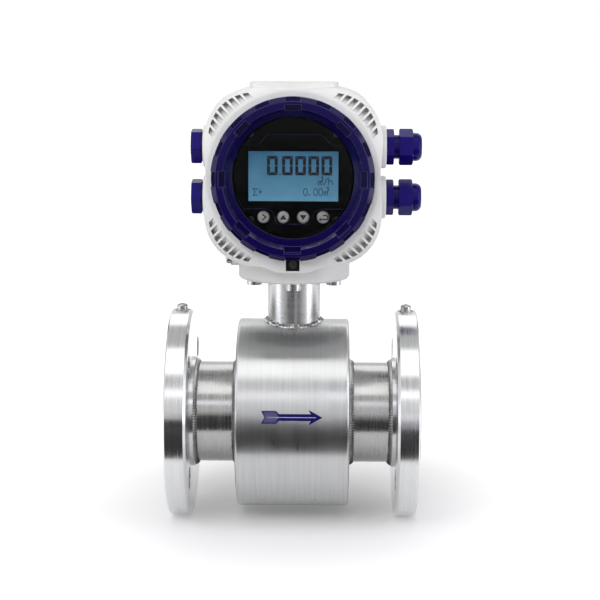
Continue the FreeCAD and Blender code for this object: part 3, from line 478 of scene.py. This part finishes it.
def rounded(path, radius, steps=4):
    """A path whose inner corners are replaced by short curves."""
    out = [path[0]]
    for before, corner, after in zip(path, path[1:], path[2:]):
        into = unit(corner[0] - before[0], corner[1] - before[1])
        away = unit(after[0] - corner[0], after[1] - corner[1])
        start = (corner[0] - into[0] * radius, corner[1] - into[1] * radius)
        stop = (corner[0] + away[0] * radius, corner[1] + away[1] * radius)
        for k in range(steps + 1):
            t = k / steps
            weights = ((1 - t) ** 2, 2 * t * (1 - t), t * t)
            out.append(tuple(sum(w * p[i] for w, p in zip(weights, (start, corner, stop)))
                             for i in (0, 1)))
    out.append(path[-1])
    return out


def on_front(plane_y, centre):
    """Places (u, v) on a plane that faces the display side, with levels towards the viewer."""
    return lambda u, v, level: (centre.x + u, plane_y - level, centre.z + v)


# ---- Weld beads ------------------------------------------------------------
PLATE_BEAD = (5.2 * MM, 3.4 * MM)
HUB_BEAD = (3.4 * MM, 3.1 * MM)
SADDLE_BEAD = (3.2 * MM, 2.6 * MM)
SADDLE_RIPPLES = 66
BEAD_PITCH = 2.1 * MM
BEAD_RIPPLE = 0.46
BEAD_BOW = 0.55
BEAD_CURVE = 1.45
BEAD_STEPS = 6
BEAD_PROFILE = 7


def fillet_profile(leg_a, leg_b):
    """Points of a slightly convex fillet from the first leg's end to the second's."""
    points = []
    for k in range(BEAD_PROFILE + 1):
        angle = math.pi / 2 * k / BEAD_PROFILE
        points.append((leg_a * math.cos(angle) ** BEAD_CURVE, leg_b * math.sin(angle) ** BEAD_CURVE))
    return points


def ripple(turn, across):
    """Height factor of overlapping weld ripples, bowed across the bead."""
    phase = turn + BEAD_BOW * (across - 0.5) ** 2 * 4
    part = phase - math.floor(phase)
    return 1.0 - BEAD_RIPPLE * part ** 2


def strip_faces(count, width):
    """Quads of a closed strip of the given number of rows, each of the given number of points."""
    faces = []
    for k in range(count):
        after = (k + 1) % count
        for i in range(width - 1):
            faces.append([k * width + i, k * width + i + 1, after * width + i + 1, after * width + i])
    return faces


def ring_bead(radius, corner_x, way, legs, draw):
    """A rippled fillet round the flow axis, with its legs along the sleeve and up the plate."""
    sunk, least, most = 0.05 * MM, 0.93, 1.05
    ripples = ripples_round(radius)
    count = ripples * BEAD_STEPS
    points = []
    swell = [draw.uniform(least, most) for _ in range(ripples)]
    for k in range(count):
        turn = k / BEAD_STEPS
        angle = 2 * math.pi * k / count
        size = swell[int(turn) % ripples]
        for i, (along, out) in enumerate(fillet_profile(*legs)):
            factor = size * ripple(turn, i / BEAD_PROFILE)
            reach = radius - sunk + out * factor
            points.append((corner_x + way * along * factor, reach * math.cos(angle), reach * math.sin(angle)))
    return points, strip_faces(count, BEAD_PROFILE + 1)


def saddle_bead(neck_r, drum_r, draw):
    """The hand-made bead where the neck stands on the drum."""
    sunk_out, sunk_up = 0.1 * MM, 0.15 * MM
    count = SADDLE_RIPPLES * BEAD_STEPS
    points = []
    wide = [draw.uniform(0.75, 1.25) for _ in range(SADDLE_RIPPLES)]
    tall = [draw.uniform(0.7, 1.3) for _ in range(SADDLE_RIPPLES)]
    for k in range(count):
        turn = k / BEAD_STEPS
        cell, part = int(turn) % SADDLE_RIPPLES, turn - int(turn)
        blend = part * part * (3 - 2 * part)
        leg_out = SADDLE_BEAD[0] * (wide[cell - 1] * (1 - blend) + wide[cell] * blend)
        leg_up = SADDLE_BEAD[1] * (tall[cell - 1] * (1 - blend) + tall[cell] * blend)
        angle = 2 * math.pi * k / count
        for i, (out, up) in enumerate(fillet_profile(leg_out, leg_up)):
            factor = ripple(turn, i / BEAD_PROFILE) if 0 < i < BEAD_PROFILE else 1.0
            reach = neck_r - sunk_out + out * factor
            x, y = reach * math.cos(angle), reach * math.sin(angle)
            skin = math.sqrt(drum_r ** 2 - y ** 2)
            points.append((x, y, skin - sunk_up + up * factor))
    return points, strip_faces(count, BEAD_PROFILE + 1)


def weld_ripples(material):
    """All fillet welds as one piece, which stands for the plain beads of the frame."""
    draw = random.Random(7)
    sleeve_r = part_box("sleeve_outlet")[1].z
    drum_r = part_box("coil_housing")[1].z
    neck_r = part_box("neck_tube")[1].x
    plate_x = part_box("end_plate_outlet")[1].x
    hub_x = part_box("outlet_flange")[0].x
    points, faces = [], []
    parts = [ring_bead(sleeve_r, side * x, side * way, legs, draw)
             for side in (1, -1) for x, way, legs in ((plate_x, 1, PLATE_BEAD), (hub_x, -1, HUB_BEAD))]
    parts.append(saddle_bead(neck_r, drum_r, draw))
    for more_points, more_faces in parts:
        start = len(points)
        points += more_points
        faces += [[start + k for k in face] for face in more_faces]
    beads = add_mesh("weld_ripples", points, faces, material, "meter", smooth=True)
    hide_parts("weld_beads")


# ---- Flow arrow ------------------------------------------------------------
ARROW_RISE = math.radians(7)
ARROW_T = 0.35 * MM
PRINT_T = 0.05 * MM
ARROW_LINE = (5.0 * MM, 41.5 * MM, 0.4 * MM)
FEATHERS = 6
FEATHER_START = 4.4 * MM
FEATHER_PITCH = 1.66 * MM
FEATHER_SWEEP = 2.1 * MM
FEATHER_HALF_H = 3.8 * MM
FEATHER_W = 0.24 * MM


def printed_arrow(frame, material):
    """The flow arrow, turned a little up the drum from the CAD solid that it stands for."""
    node = frame["nodes"]["flow_arrow"]
    mesh = node.data.copy()
    mesh.transform(Matrix.Rotation(-ARROW_RISE, 4, "X") @ node.matrix_world)
    mesh.materials.clear()
    mesh.materials.append(material)
    arrow = bpy.data.objects.new("printed_arrow", mesh)
    bpy.context.scene.collection.objects.link(arrow)
    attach(arrow, "meter")
    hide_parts("flow_arrow")


def arrow_marks(material):
    """White centre line and feathers on the flow arrow."""
    low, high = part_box("flow_arrow")
    arrow_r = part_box("coil_housing")[1].z + ARROW_T
    lift = math.asin((low.z + high.z) / 2 / arrow_r) + ARROW_RISE
    left = low.x

    def place(u, v, level):
        reach = arrow_r + level
        y, z = -math.sqrt(reach ** 2 - v ** 2), v
        return (left + u, y * math.cos(lift) + z * math.sin(lift), -y * math.sin(lift) + z * math.cos(lift))

    marks = Sheet(place)
    start, stop, width = ARROW_LINE
    marks.stroke([(start, 0), (stop, 0)], width, 0.0, PRINT_T)
    for k in range(FEATHERS):
        apex = FEATHER_START + k * FEATHER_PITCH
        for side in (-1, 1):
            end = (apex - FEATHER_SWEEP, side * FEATHER_HALF_H)
            marks.stroke([(apex, 0), end] if side < 0 else [end, (apex, 0)], FEATHER_W, 0.0, PRINT_T)
    add_mesh("arrow_feathers", marks.points, marks.faces, material, "meter")


# ---- Display ---------------------------------------------------------------
SHOWN_W = 68.3 * MM
SHOWN_H = 37.8 * MM
FIGURE_T = 0.06 * MM
DIGIT_LEFTS = (14.1 * MM, 25.6 * MM, 35.6 * MM, 45.6 * MM, 55.6 * MM)
DIGITS_DROP = 3.5 * MM
SEGMENT_W = 2.3 * MM
DIGIT_W = 8.1 * MM
DIGIT_H = 14.6 * MM
DIGIT_GAP = 0.15 * MM
DOT_W = 1.2 * MM
DOT_AT = (23.4 * MM, 18.0 * MM)
GLYPH_PITCH = 3.87 * MM
GLYPH_H = 5.2 * MM
GLYPH_STROKE = 0.55 * MM
WRITING = (("m/h", 53.0 * MM, 25.4 * MM), ("S+", 3.1 * MM, 33.6 * MM), ("0.00m", 41.8 * MM, 33.4 * MM))
GLYPHS = {
    "0": [[(1.9, 0), (4.3, 0), (5.7, 2.2), (5.7, 7.8), (4.3, 10), (1.9, 10), (0.5, 7.8), (0.5, 2.2),
           (1.9, 0)]],
    ".": [[(0.4, 0.5), (2.2, 0.5)], [(0.4, 1.4), (2.2, 1.4)]],
    "m": [[(0.6, 0), (0.6, 5.6)], [(0.6, 5.2), (2.5, 5.6), (3.2, 4.8), (3.2, 0)],
          [(3.2, 4.8), (5.0, 5.6), (5.8, 4.8), (5.8, 0)],
          [(4.4, 12.0), (7.0, 12.0), (5.7, 9.9), (7.2, 8.9), (7.2, 7.7), (6.0, 6.8), (4.4, 7.2)]],
    "/": [[(0.6, -0.6), (6.6, 10.6)]],
    "h": [[(0.8, 0), (0.8, 11.2)], [(0.8, 5.4), (3.2, 6.6), (5.8, 5.4), (5.8, 0)]],
    "S": [[(6.4, 8.0), (6.4, 9.8), (0.6, 9.8), (4.0, 5), (0.6, 0.2), (6.6, 0.2), (6.6, 2.0)]],
    "+": [[(0.8, 5.2), (6.6, 5.2)], [(3.7, 1.8), (3.7, 9.6)]],
}


def seven_segment_zero(sheet, left, top, level):
    """A zero from its six outer segments, each bevelled towards its neighbours."""
    w, h, s, g = DIGIT_W, DIGIT_H, SEGMENT_W, DIGIT_GAP
    middle = h / 2
    shapes = [
        [(g, h), (s + g, h - s), (w - s - g, h - s), (w - g, h)],
        [(0, h - g), (0, middle + g), (s * 0.75, middle + g), (s, middle + s * 0.4), (s, h - s - g)],
        [(w, h - g), (w - s, h - s - g), (w - s, middle + s * 0.4), (w - s * 0.75, middle + g),
         (w, middle + g)],
    ]
    for shape in shapes:
        for flip in (False, True):
            outline = [(u, h - v) for u, v in shape] if flip else shape
            outline = [(left + u, top - h + v) for u, v in outline]
            area = sum(a[0] * b[1] - b[0] * a[1] for a, b in zip(outline, outline[1:] + outline[:1]))
            sheet.plate(outline if area > 0 else outline[::-1], 0.0, level)


def write(sheet, text, left, base):
    """Writes a line of stroked glyphs at an even pitch."""
    scale = GLYPH_H / 10
    for k, mark in enumerate(text):
        start = left + k * GLYPH_PITCH
        for path in GLYPHS[mark]:
            points = [(start + u * scale, base + v * scale) for u, v in path]
            sheet.stroke(points, GLYPH_STROKE, 0.0, FIGURE_T)


def lcd_figures(material):
    """Reading, unit and total on the display, as thin dark plates on its face."""
    low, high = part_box("lcd_module")
    centre = Vector(((low.x + high.x) / 2, 0, (low.z + high.z) / 2))
    sheet = Sheet(on_front(low.y, centre))
    left, top = -SHOWN_W / 2, SHOWN_H / 2
    for start in DIGIT_LEFTS:
        seven_segment_zero(sheet, left + start, top - DIGITS_DROP, FIGURE_T)
    dot_left, dot_base = left + DOT_AT[0], top - DOT_AT[1]
    sheet.plate([(dot_left, dot_base), (dot_left + DOT_W, dot_base),
                 (dot_left + DOT_W, dot_base + DOT_W), (dot_left, dot_base + DOT_W)], 0.0, FIGURE_T)
    for text, start, drop in WRITING:
        write(sheet, text, left + start, top - drop)
    add_mesh("lcd_figures", sheet.points, sheet.faces, material, "meter")
    return centre


UPPER_LINE = ((-43.5, 23.6), (-27.0, 23.6), (-19.3, 31.8), (20.5, 31.8), (29.4, 23.6), (43.5, 23.6))
LOWER_LINE = ((-41.5, -24.8), (-22.5, -24.8), (-16.0, -26.5), (-12.5, -36.6), (12.5, -36.6),
              (16.5, -26.5), (22.5, -24.8), (41.5, -24.8))
LINE_W = 0.35 * MM
LINE_T = 0.04 * MM
LINE_CORNER_R = 1.6 * MM


def panel_lines(centre, material):
    """Thin frame lines printed on the display panel above and below the window."""
    sheet = Sheet(on_front(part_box("display_panel")[0].y, centre))
    for path in (UPPER_LINE, LOWER_LINE):
        points = rounded([(u * MM, v * MM) for u, v in path], LINE_CORNER_R)
        sheet.stroke(points, LINE_W, 0.0, LINE_T)
    add_mesh("panel_lines", sheet.points, sheet.faces, material, "meter")


KEY_STROKE = 1.0 * MM
CHEVRON = ((-0.8 * MM, -2.4 * MM), (1.9 * MM, 0), (-0.8 * MM, 2.4 * MM))
TRIANGLE_HALF_W = 2.8 * MM
TRIANGLE_FOOT = 1.9 * MM
TRIANGLE_TIP = 2.1 * MM
RETURN_R = 1.55 * MM
RETURN_X = 2.0 * MM
RETURN_TIP = ((-3.3 * MM, -1.55 * MM), (-1.6 * MM, -2.85 * MM), (-1.6 * MM, -0.25 * MM))


def key_marks(ink):
    """A printed symbol on each key, which moves with it."""
    bend = [(RETURN_X + RETURN_R * math.cos(math.radians(turn)), RETURN_R * math.sin(math.radians(turn)))
            for turn in range(-90, 91, 20)]
    w, foot, tip = TRIANGLE_HALF_W, TRIANGLE_FOOT, TRIANGLE_TIP
    for key in ("next", "up", "down", "enter"):
        low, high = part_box("key_" + key)
        sheet = Sheet(on_front(low.y, (low + high) / 2))
        if key == "next":
            sheet.stroke(CHEVRON, KEY_STROKE, 0.0, PRINT_T)
        elif key == "up":
            sheet.plate([(-w, -foot), (w, -foot), (0, tip)], 0.0, PRINT_T)
        elif key == "down":
            sheet.plate([(-w, foot), (0, -tip), (w, foot)], 0.0, PRINT_T)
        else:
            sheet.stroke([(-RETURN_X, -RETURN_R), *bend, (0, RETURN_R)], KEY_STROKE, 0.0, PRINT_T)
            sheet.plate(RETURN_TIP, 0.0, PRINT_T)
        add_mesh("key_mark_" + key, sheet.points, sheet.faces, ink, "key_%s_body" % key)


# ---- Cover lock ------------------------------------------------------------
LOCK_RECESS_W = 10.4 * MM
LOCK_RECESS_H = 9.9 * MM
LINING_DEPTH = 4.4 * MM
LINING_T = 0.15 * MM
LOCK_SEAT = 4.0 * MM
LOCK_DROP = 0.2 * MM


def lock_lining_and_shade(material):
    """Black lining of the square recess that holds the cover's lock screw: it stands partly for the lock
    clip's dark bracket and partly for painted shade deep in the recess.
    """
    low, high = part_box("cover_lock_screw")
    sheet = Sheet(on_front(low.y + LOCK_SEAT, (low + high) / 2 + Vector((0, 0, LOCK_DROP))))
    w, h = LOCK_RECESS_W / 2, LOCK_RECESS_H / 2
    inner_w, inner_h = w - LINING_T, h - LINING_T
    for u0, v0, u1, v1, level in ((-w, -h, w, h, LINING_T),
                                  (-w, -h, -inner_w, h, LINING_DEPTH),
                                  (inner_w, -h, w, h, LINING_DEPTH),
                                  (-inner_w, -h, inner_w, -inner_h, LINING_DEPTH),
                                  (-inner_w, inner_h, inner_w, h, LINING_DEPTH)):
        sheet.plate([(u0, v0), (u1, v0), (u1, v1), (u0, v1)], 0.0, level)
    add_mesh("lock_lining_and_shade", sheet.points, sheet.faces, material, "meter")


# ---- Studio ----------------------------------------------------------------
SKY = ((0.0, 1.0), (0.06, 1.0), (0.12, 0.78), (0.40, 0.85), (0.62, 0.62), (1.0, 0.58))
WORLD_LIGHT = 0.36
FLOOR_HALF = 12.0
# Floor glow near and far from the object; the weaker glow near it is painted shade round the object's foot.
GLOW_NEAR = 0.10
GLOW_FAR = 0.90
GLOW_START_R = 0.08
GLOW_STOP_R = 0.36
LAVENDER = (0.90, 0.89, 1.0)
SIDE_LAMP = (0.30, 0.8)
TABLE_EDGE_Y = -0.15
ROOM_Y = -1.35
ROOM_W = 1.5
ROOM_H = 0.16
EDGE_TURN = math.radians(140)
EDGE_REACH = 1.2
EDGE_SIZE = (0.25, 0.6)
EDGE_RISE = 0.25


def background_share(tree):
    """1 for camera, glossy and transmission rays, and 0 for the rays that light a matt surface."""
    rays = tree.nodes.new("ShaderNodeLightPath").outputs
    total = rays["Is Camera Ray"]
    for kind in ("Is Glossy Ray", "Is Transmission Ray"):
        join = tree.nodes.new("ShaderNodeMath")
        join.operation = "MAXIMUM"
        tree.links.new(total, join.inputs[0])
        tree.links.new(rays[kind], join.inputs[1])
        total = join.outputs[0]
    return total


def make_world():
    """A pale room: white round the horizon, greyer overhead, and a plain level of light."""
    world = bpy.data.worlds.new("studio")
    bpy.context.scene.world = world
    world.use_nodes = True
    tree = world.node_tree
    tree.nodes.clear()
    output = tree.nodes.new("ShaderNodeOutputWorld")
    light = tree.nodes.new("ShaderNodeBackground")
    tree.links.new(light.outputs[0], output.inputs["Surface"])
    ways = tree.nodes.new("ShaderNodeTexCoord")
    split = tree.nodes.new("ShaderNodeSeparateXYZ")
    tree.links.new(ways.outputs["Generated"], split.inputs[0])
    ramp = tree.nodes.new("ShaderNodeValToRGB")
    tree.links.new(split.outputs[Z], ramp.inputs[0])
    elements = ramp.color_ramp.elements
    while len(elements) < len(SKY):
        elements.new(0.5)
    for element, (at, grey) in zip(elements, SKY):
        element.position = at
        element.color = (grey, grey, grey, 1.0)
    tree.links.new(ramp.outputs[0], light.inputs["Color"])
    level = tree.nodes.new("ShaderNodeMapRange")
    tree.links.new(background_share(tree), level.inputs[0])
    level.inputs["To Min"].default_value = WORLD_LIGHT
    level.inputs["To Max"].default_value = 1.0
    tree.links.new(level.outputs[0], light.inputs["Strength"])


def flat_sheet(name, half_w, half_h, height, material):
    """A level rectangle round the origin at a height."""
    mesh = bpy.data.meshes.new(name)
    corners = [(u * half_w, v * half_h, height) for u, v in ((-1, -1), (1, -1), (1, 1), (-1, 1))]
    mesh.from_pydata(corners, [], [[0, 1, 2, 3]])
    mesh.materials.append(material)
    made = bpy.data.objects.new(name, mesh)
    bpy.context.scene.collection.objects.link(made)
    return made


def make_floor(height):
    """A white floor that keeps the object's shadow, with painted shade round the object's foot where its glow
    is weaker, and turns to plain white away from it.
    """
    shader = Shader("floor_white")
    share = background_share(shader.tree)
    dust = shader.noise(shader.position, 3.0, 2.0)
    shader.bump(dust, 0.01 * MM, 0.1)
    reach = shader.node("ShaderNodeVectorMath", {0: shader.position}, operation="LENGTH").outputs[1]
    # Painted shade: the glow rises from GLOW_NEAR by the object to GLOW_FAR away from it, so the floor, and
    # the metal that reflects it, are darker near the object.
    far = shader.spread(reach, GLOW_NEAR, GLOW_FAR, GLOW_START_R, GLOW_STOP_R)
    glow = shader.math("MULTIPLY", share, far)
    material = shader.finish(colour=FLOOR_WHITE, rough=0.9, glow=WHITE, glow_strength=glow)
    flat_sheet("floor", FLOOR_HALF, FLOOR_HALF, height, material)


def flag(name, centre, size, facing):
    """A black studio card that only reflections see, as behind a camera or along a table's edge."""
    shader = Shader("card_" + name)
    felt = shader.noise(shader.position, 300.0, 2.0)
    shader.bump(felt, 0.2 * MM, 0.5)
    material = shader.finish(colour=CARD_BLACK, rough=0.9)
    card = flat_sheet("card_" + name, size[0] / 2, size[1] / 2, 0, material)
    card.location = centre
    card.rotation_euler = Vector(facing).to_track_quat("Z", "Y").to_euler()
    card.visible_camera = False
    card.visible_diffuse = False
    card.visible_shadow = False


def softbox(name, centre, target, size, radiance, tint=WHITE):
    """A soft lamp, set by how bright its face is, where 1 is white."""
    data = bpy.data.lights.new(name, "AREA")
    data.shape = "RECTANGLE"
    data.size, data.size_y = size
    data.energy = radiance * math.pi * size[0] * size[1]
    data.color = tint
    lamp = bpy.data.objects.new(name, data)
    bpy.context.scene.collection.objects.link(lamp)
    lamp.location = centre
    lamp.rotation_euler = (Vector(target) - Vector(centre)).to_track_quat("-Z", "Y").to_euler()
    return lamp


def overhead(name, elevation, spread, distance, width, radiance, tint=WHITE):
    """A soft lamp across the flow axis, at an angle from the display side's horizon over the top."""
    angle = math.radians(elevation)
    centre = (0.0, -distance * math.cos(angle), distance * math.sin(angle))
    height = 2 * distance * math.tan(math.radians(spread / 2))
    softbox(name, centre, (0.0, 0.0, 0.0), (width, height), radiance, tint)


def make_lamps(middle):
    """Three lamps over the top, one each side, one low by the neck, and a fill that isn't reflected."""
    overhead("key_above", elevation=67, spread=32, distance=1.0, width=1.3, radiance=1.15)
    overhead("strip_front", elevation=31, spread=9, distance=1.2, width=1.5, radiance=1.05, tint=LAVENDER)
    overhead("rear_top", elevation=132, spread=27, distance=1.0, width=1.1, radiance=0.95)
    target = (0.0, 0.0, middle)
    softbox("side_left", (-0.80, -0.30, 0.22), target, SIDE_LAMP, radiance=1.7, tint=LAVENDER)
    softbox("side_right", (0.80, -0.30, 0.22), target, SIDE_LAMP, radiance=3.0, tint=LAVENDER)
    softbox("neck_strip", (0.145, -0.90, 0.04), (0.0, 0.0, 0.09), (0.12, 0.24), radiance=0.9,
            tint=LAVENDER)
    fill = softbox("front_fill", (-0.45, -1.35, 1.05), target, (1.1, 0.9), radiance=3.3)
    fill.visible_glossy = False


def make_flags(floor_z):
    """Dark cards: the room beyond the table's edge, up to the lens, and one behind each side."""
    depth = TABLE_EDGE_Y - ROOM_Y
    flag("room_floor", (0.0, (TABLE_EDGE_Y + ROOM_Y) / 2, floor_z + 0.5 * MM), (ROOM_W, depth), (0, 0, 1))
    flag("room_wall", (0.0, ROOM_Y, floor_z + ROOM_H / 2), (ROOM_W, ROOM_H), (0, 1, 0))
    for side, name in ((-1, "edge_left"), (1, "edge_right")):
        x, y = side * EDGE_REACH * math.sin(EDGE_TURN), -EDGE_REACH * math.cos(EDGE_TURN)
        flag(name, (x, y, floor_z + EDGE_RISE), EDGE_SIZE, (-x, -y, 0))
    flag("camera_side", (-0.025, ROOM_Y - 0.01, floor_z + 0.20), (0.24, 0.19), (0, 1, 0))


# ---- Camera ----------------------------------------------------------------
CAMERA_AT = (0.0247, -1.2738, 0.2850)
CAMERA_PITCH = math.radians(8.67)
CAMERA_YAW = 0.01565
CAMERA_ROLL = 0.004
CAMERA_LENS = 97.0
SENSOR_W = 36.0
CLIP = (0.05, 50.0)


def make_camera():
    """The camera from its place, pitch, yaw and roll."""
    data = bpy.data.cameras.new("camera")
    data.sensor_width = SENSOR_W
    data.lens = CAMERA_LENS
    data.clip_start, data.clip_end = CLIP
    camera = bpy.data.objects.new("camera", data)
    bpy.context.scene.collection.objects.link(camera)
    bpy.context.scene.camera = camera
    turn = Matrix.Rotation(CAMERA_YAW, 4, "Z") @ Matrix.Rotation(math.pi / 2 - CAMERA_PITCH, 4, "X")
    turn = turn @ Matrix.Rotation(CAMERA_ROLL, 4, "Z")
    camera.matrix_world = Matrix.Translation(CAMERA_AT) @ turn


# ---- Scene -----------------------------------------------------------------
def main():
    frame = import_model()
    cad_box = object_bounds()
    by_slot = dress_frame(frame)
    weld_ripples(by_slot["weld"])
    printed_arrow(frame, by_slot["arrow_print"])
    arrow_marks(moulded("arrow_white", WHITE_PRINT, rough=0.45, edge=0.0))
    lcd_centre = lcd_figures(moulded("lcd_ink", LCD_INK, rough=0.35, edge=0.0))
    panel_lines(lcd_centre, moulded("line_blue", LINE_BLUE, rough=0.4, edge=0.0))
    key_marks(moulded("key_ink", KEY_INK, rough=0.4, edge=0.0))
    lock_lining_and_shade(moulded("lock_bracket_and_shade", LOCK_BRACKET_AND_SHADE, rough=0.6, edge=0.0))
    floor_z = cad_box[0].z
    make_world()
    make_floor(floor_z)
    make_lamps((cad_box[0].z + cad_box[1].z) / 2)
    make_flags(floor_z)
    make_camera()
    bpy.context.scene.view_settings.view_transform = "Standard"


main()
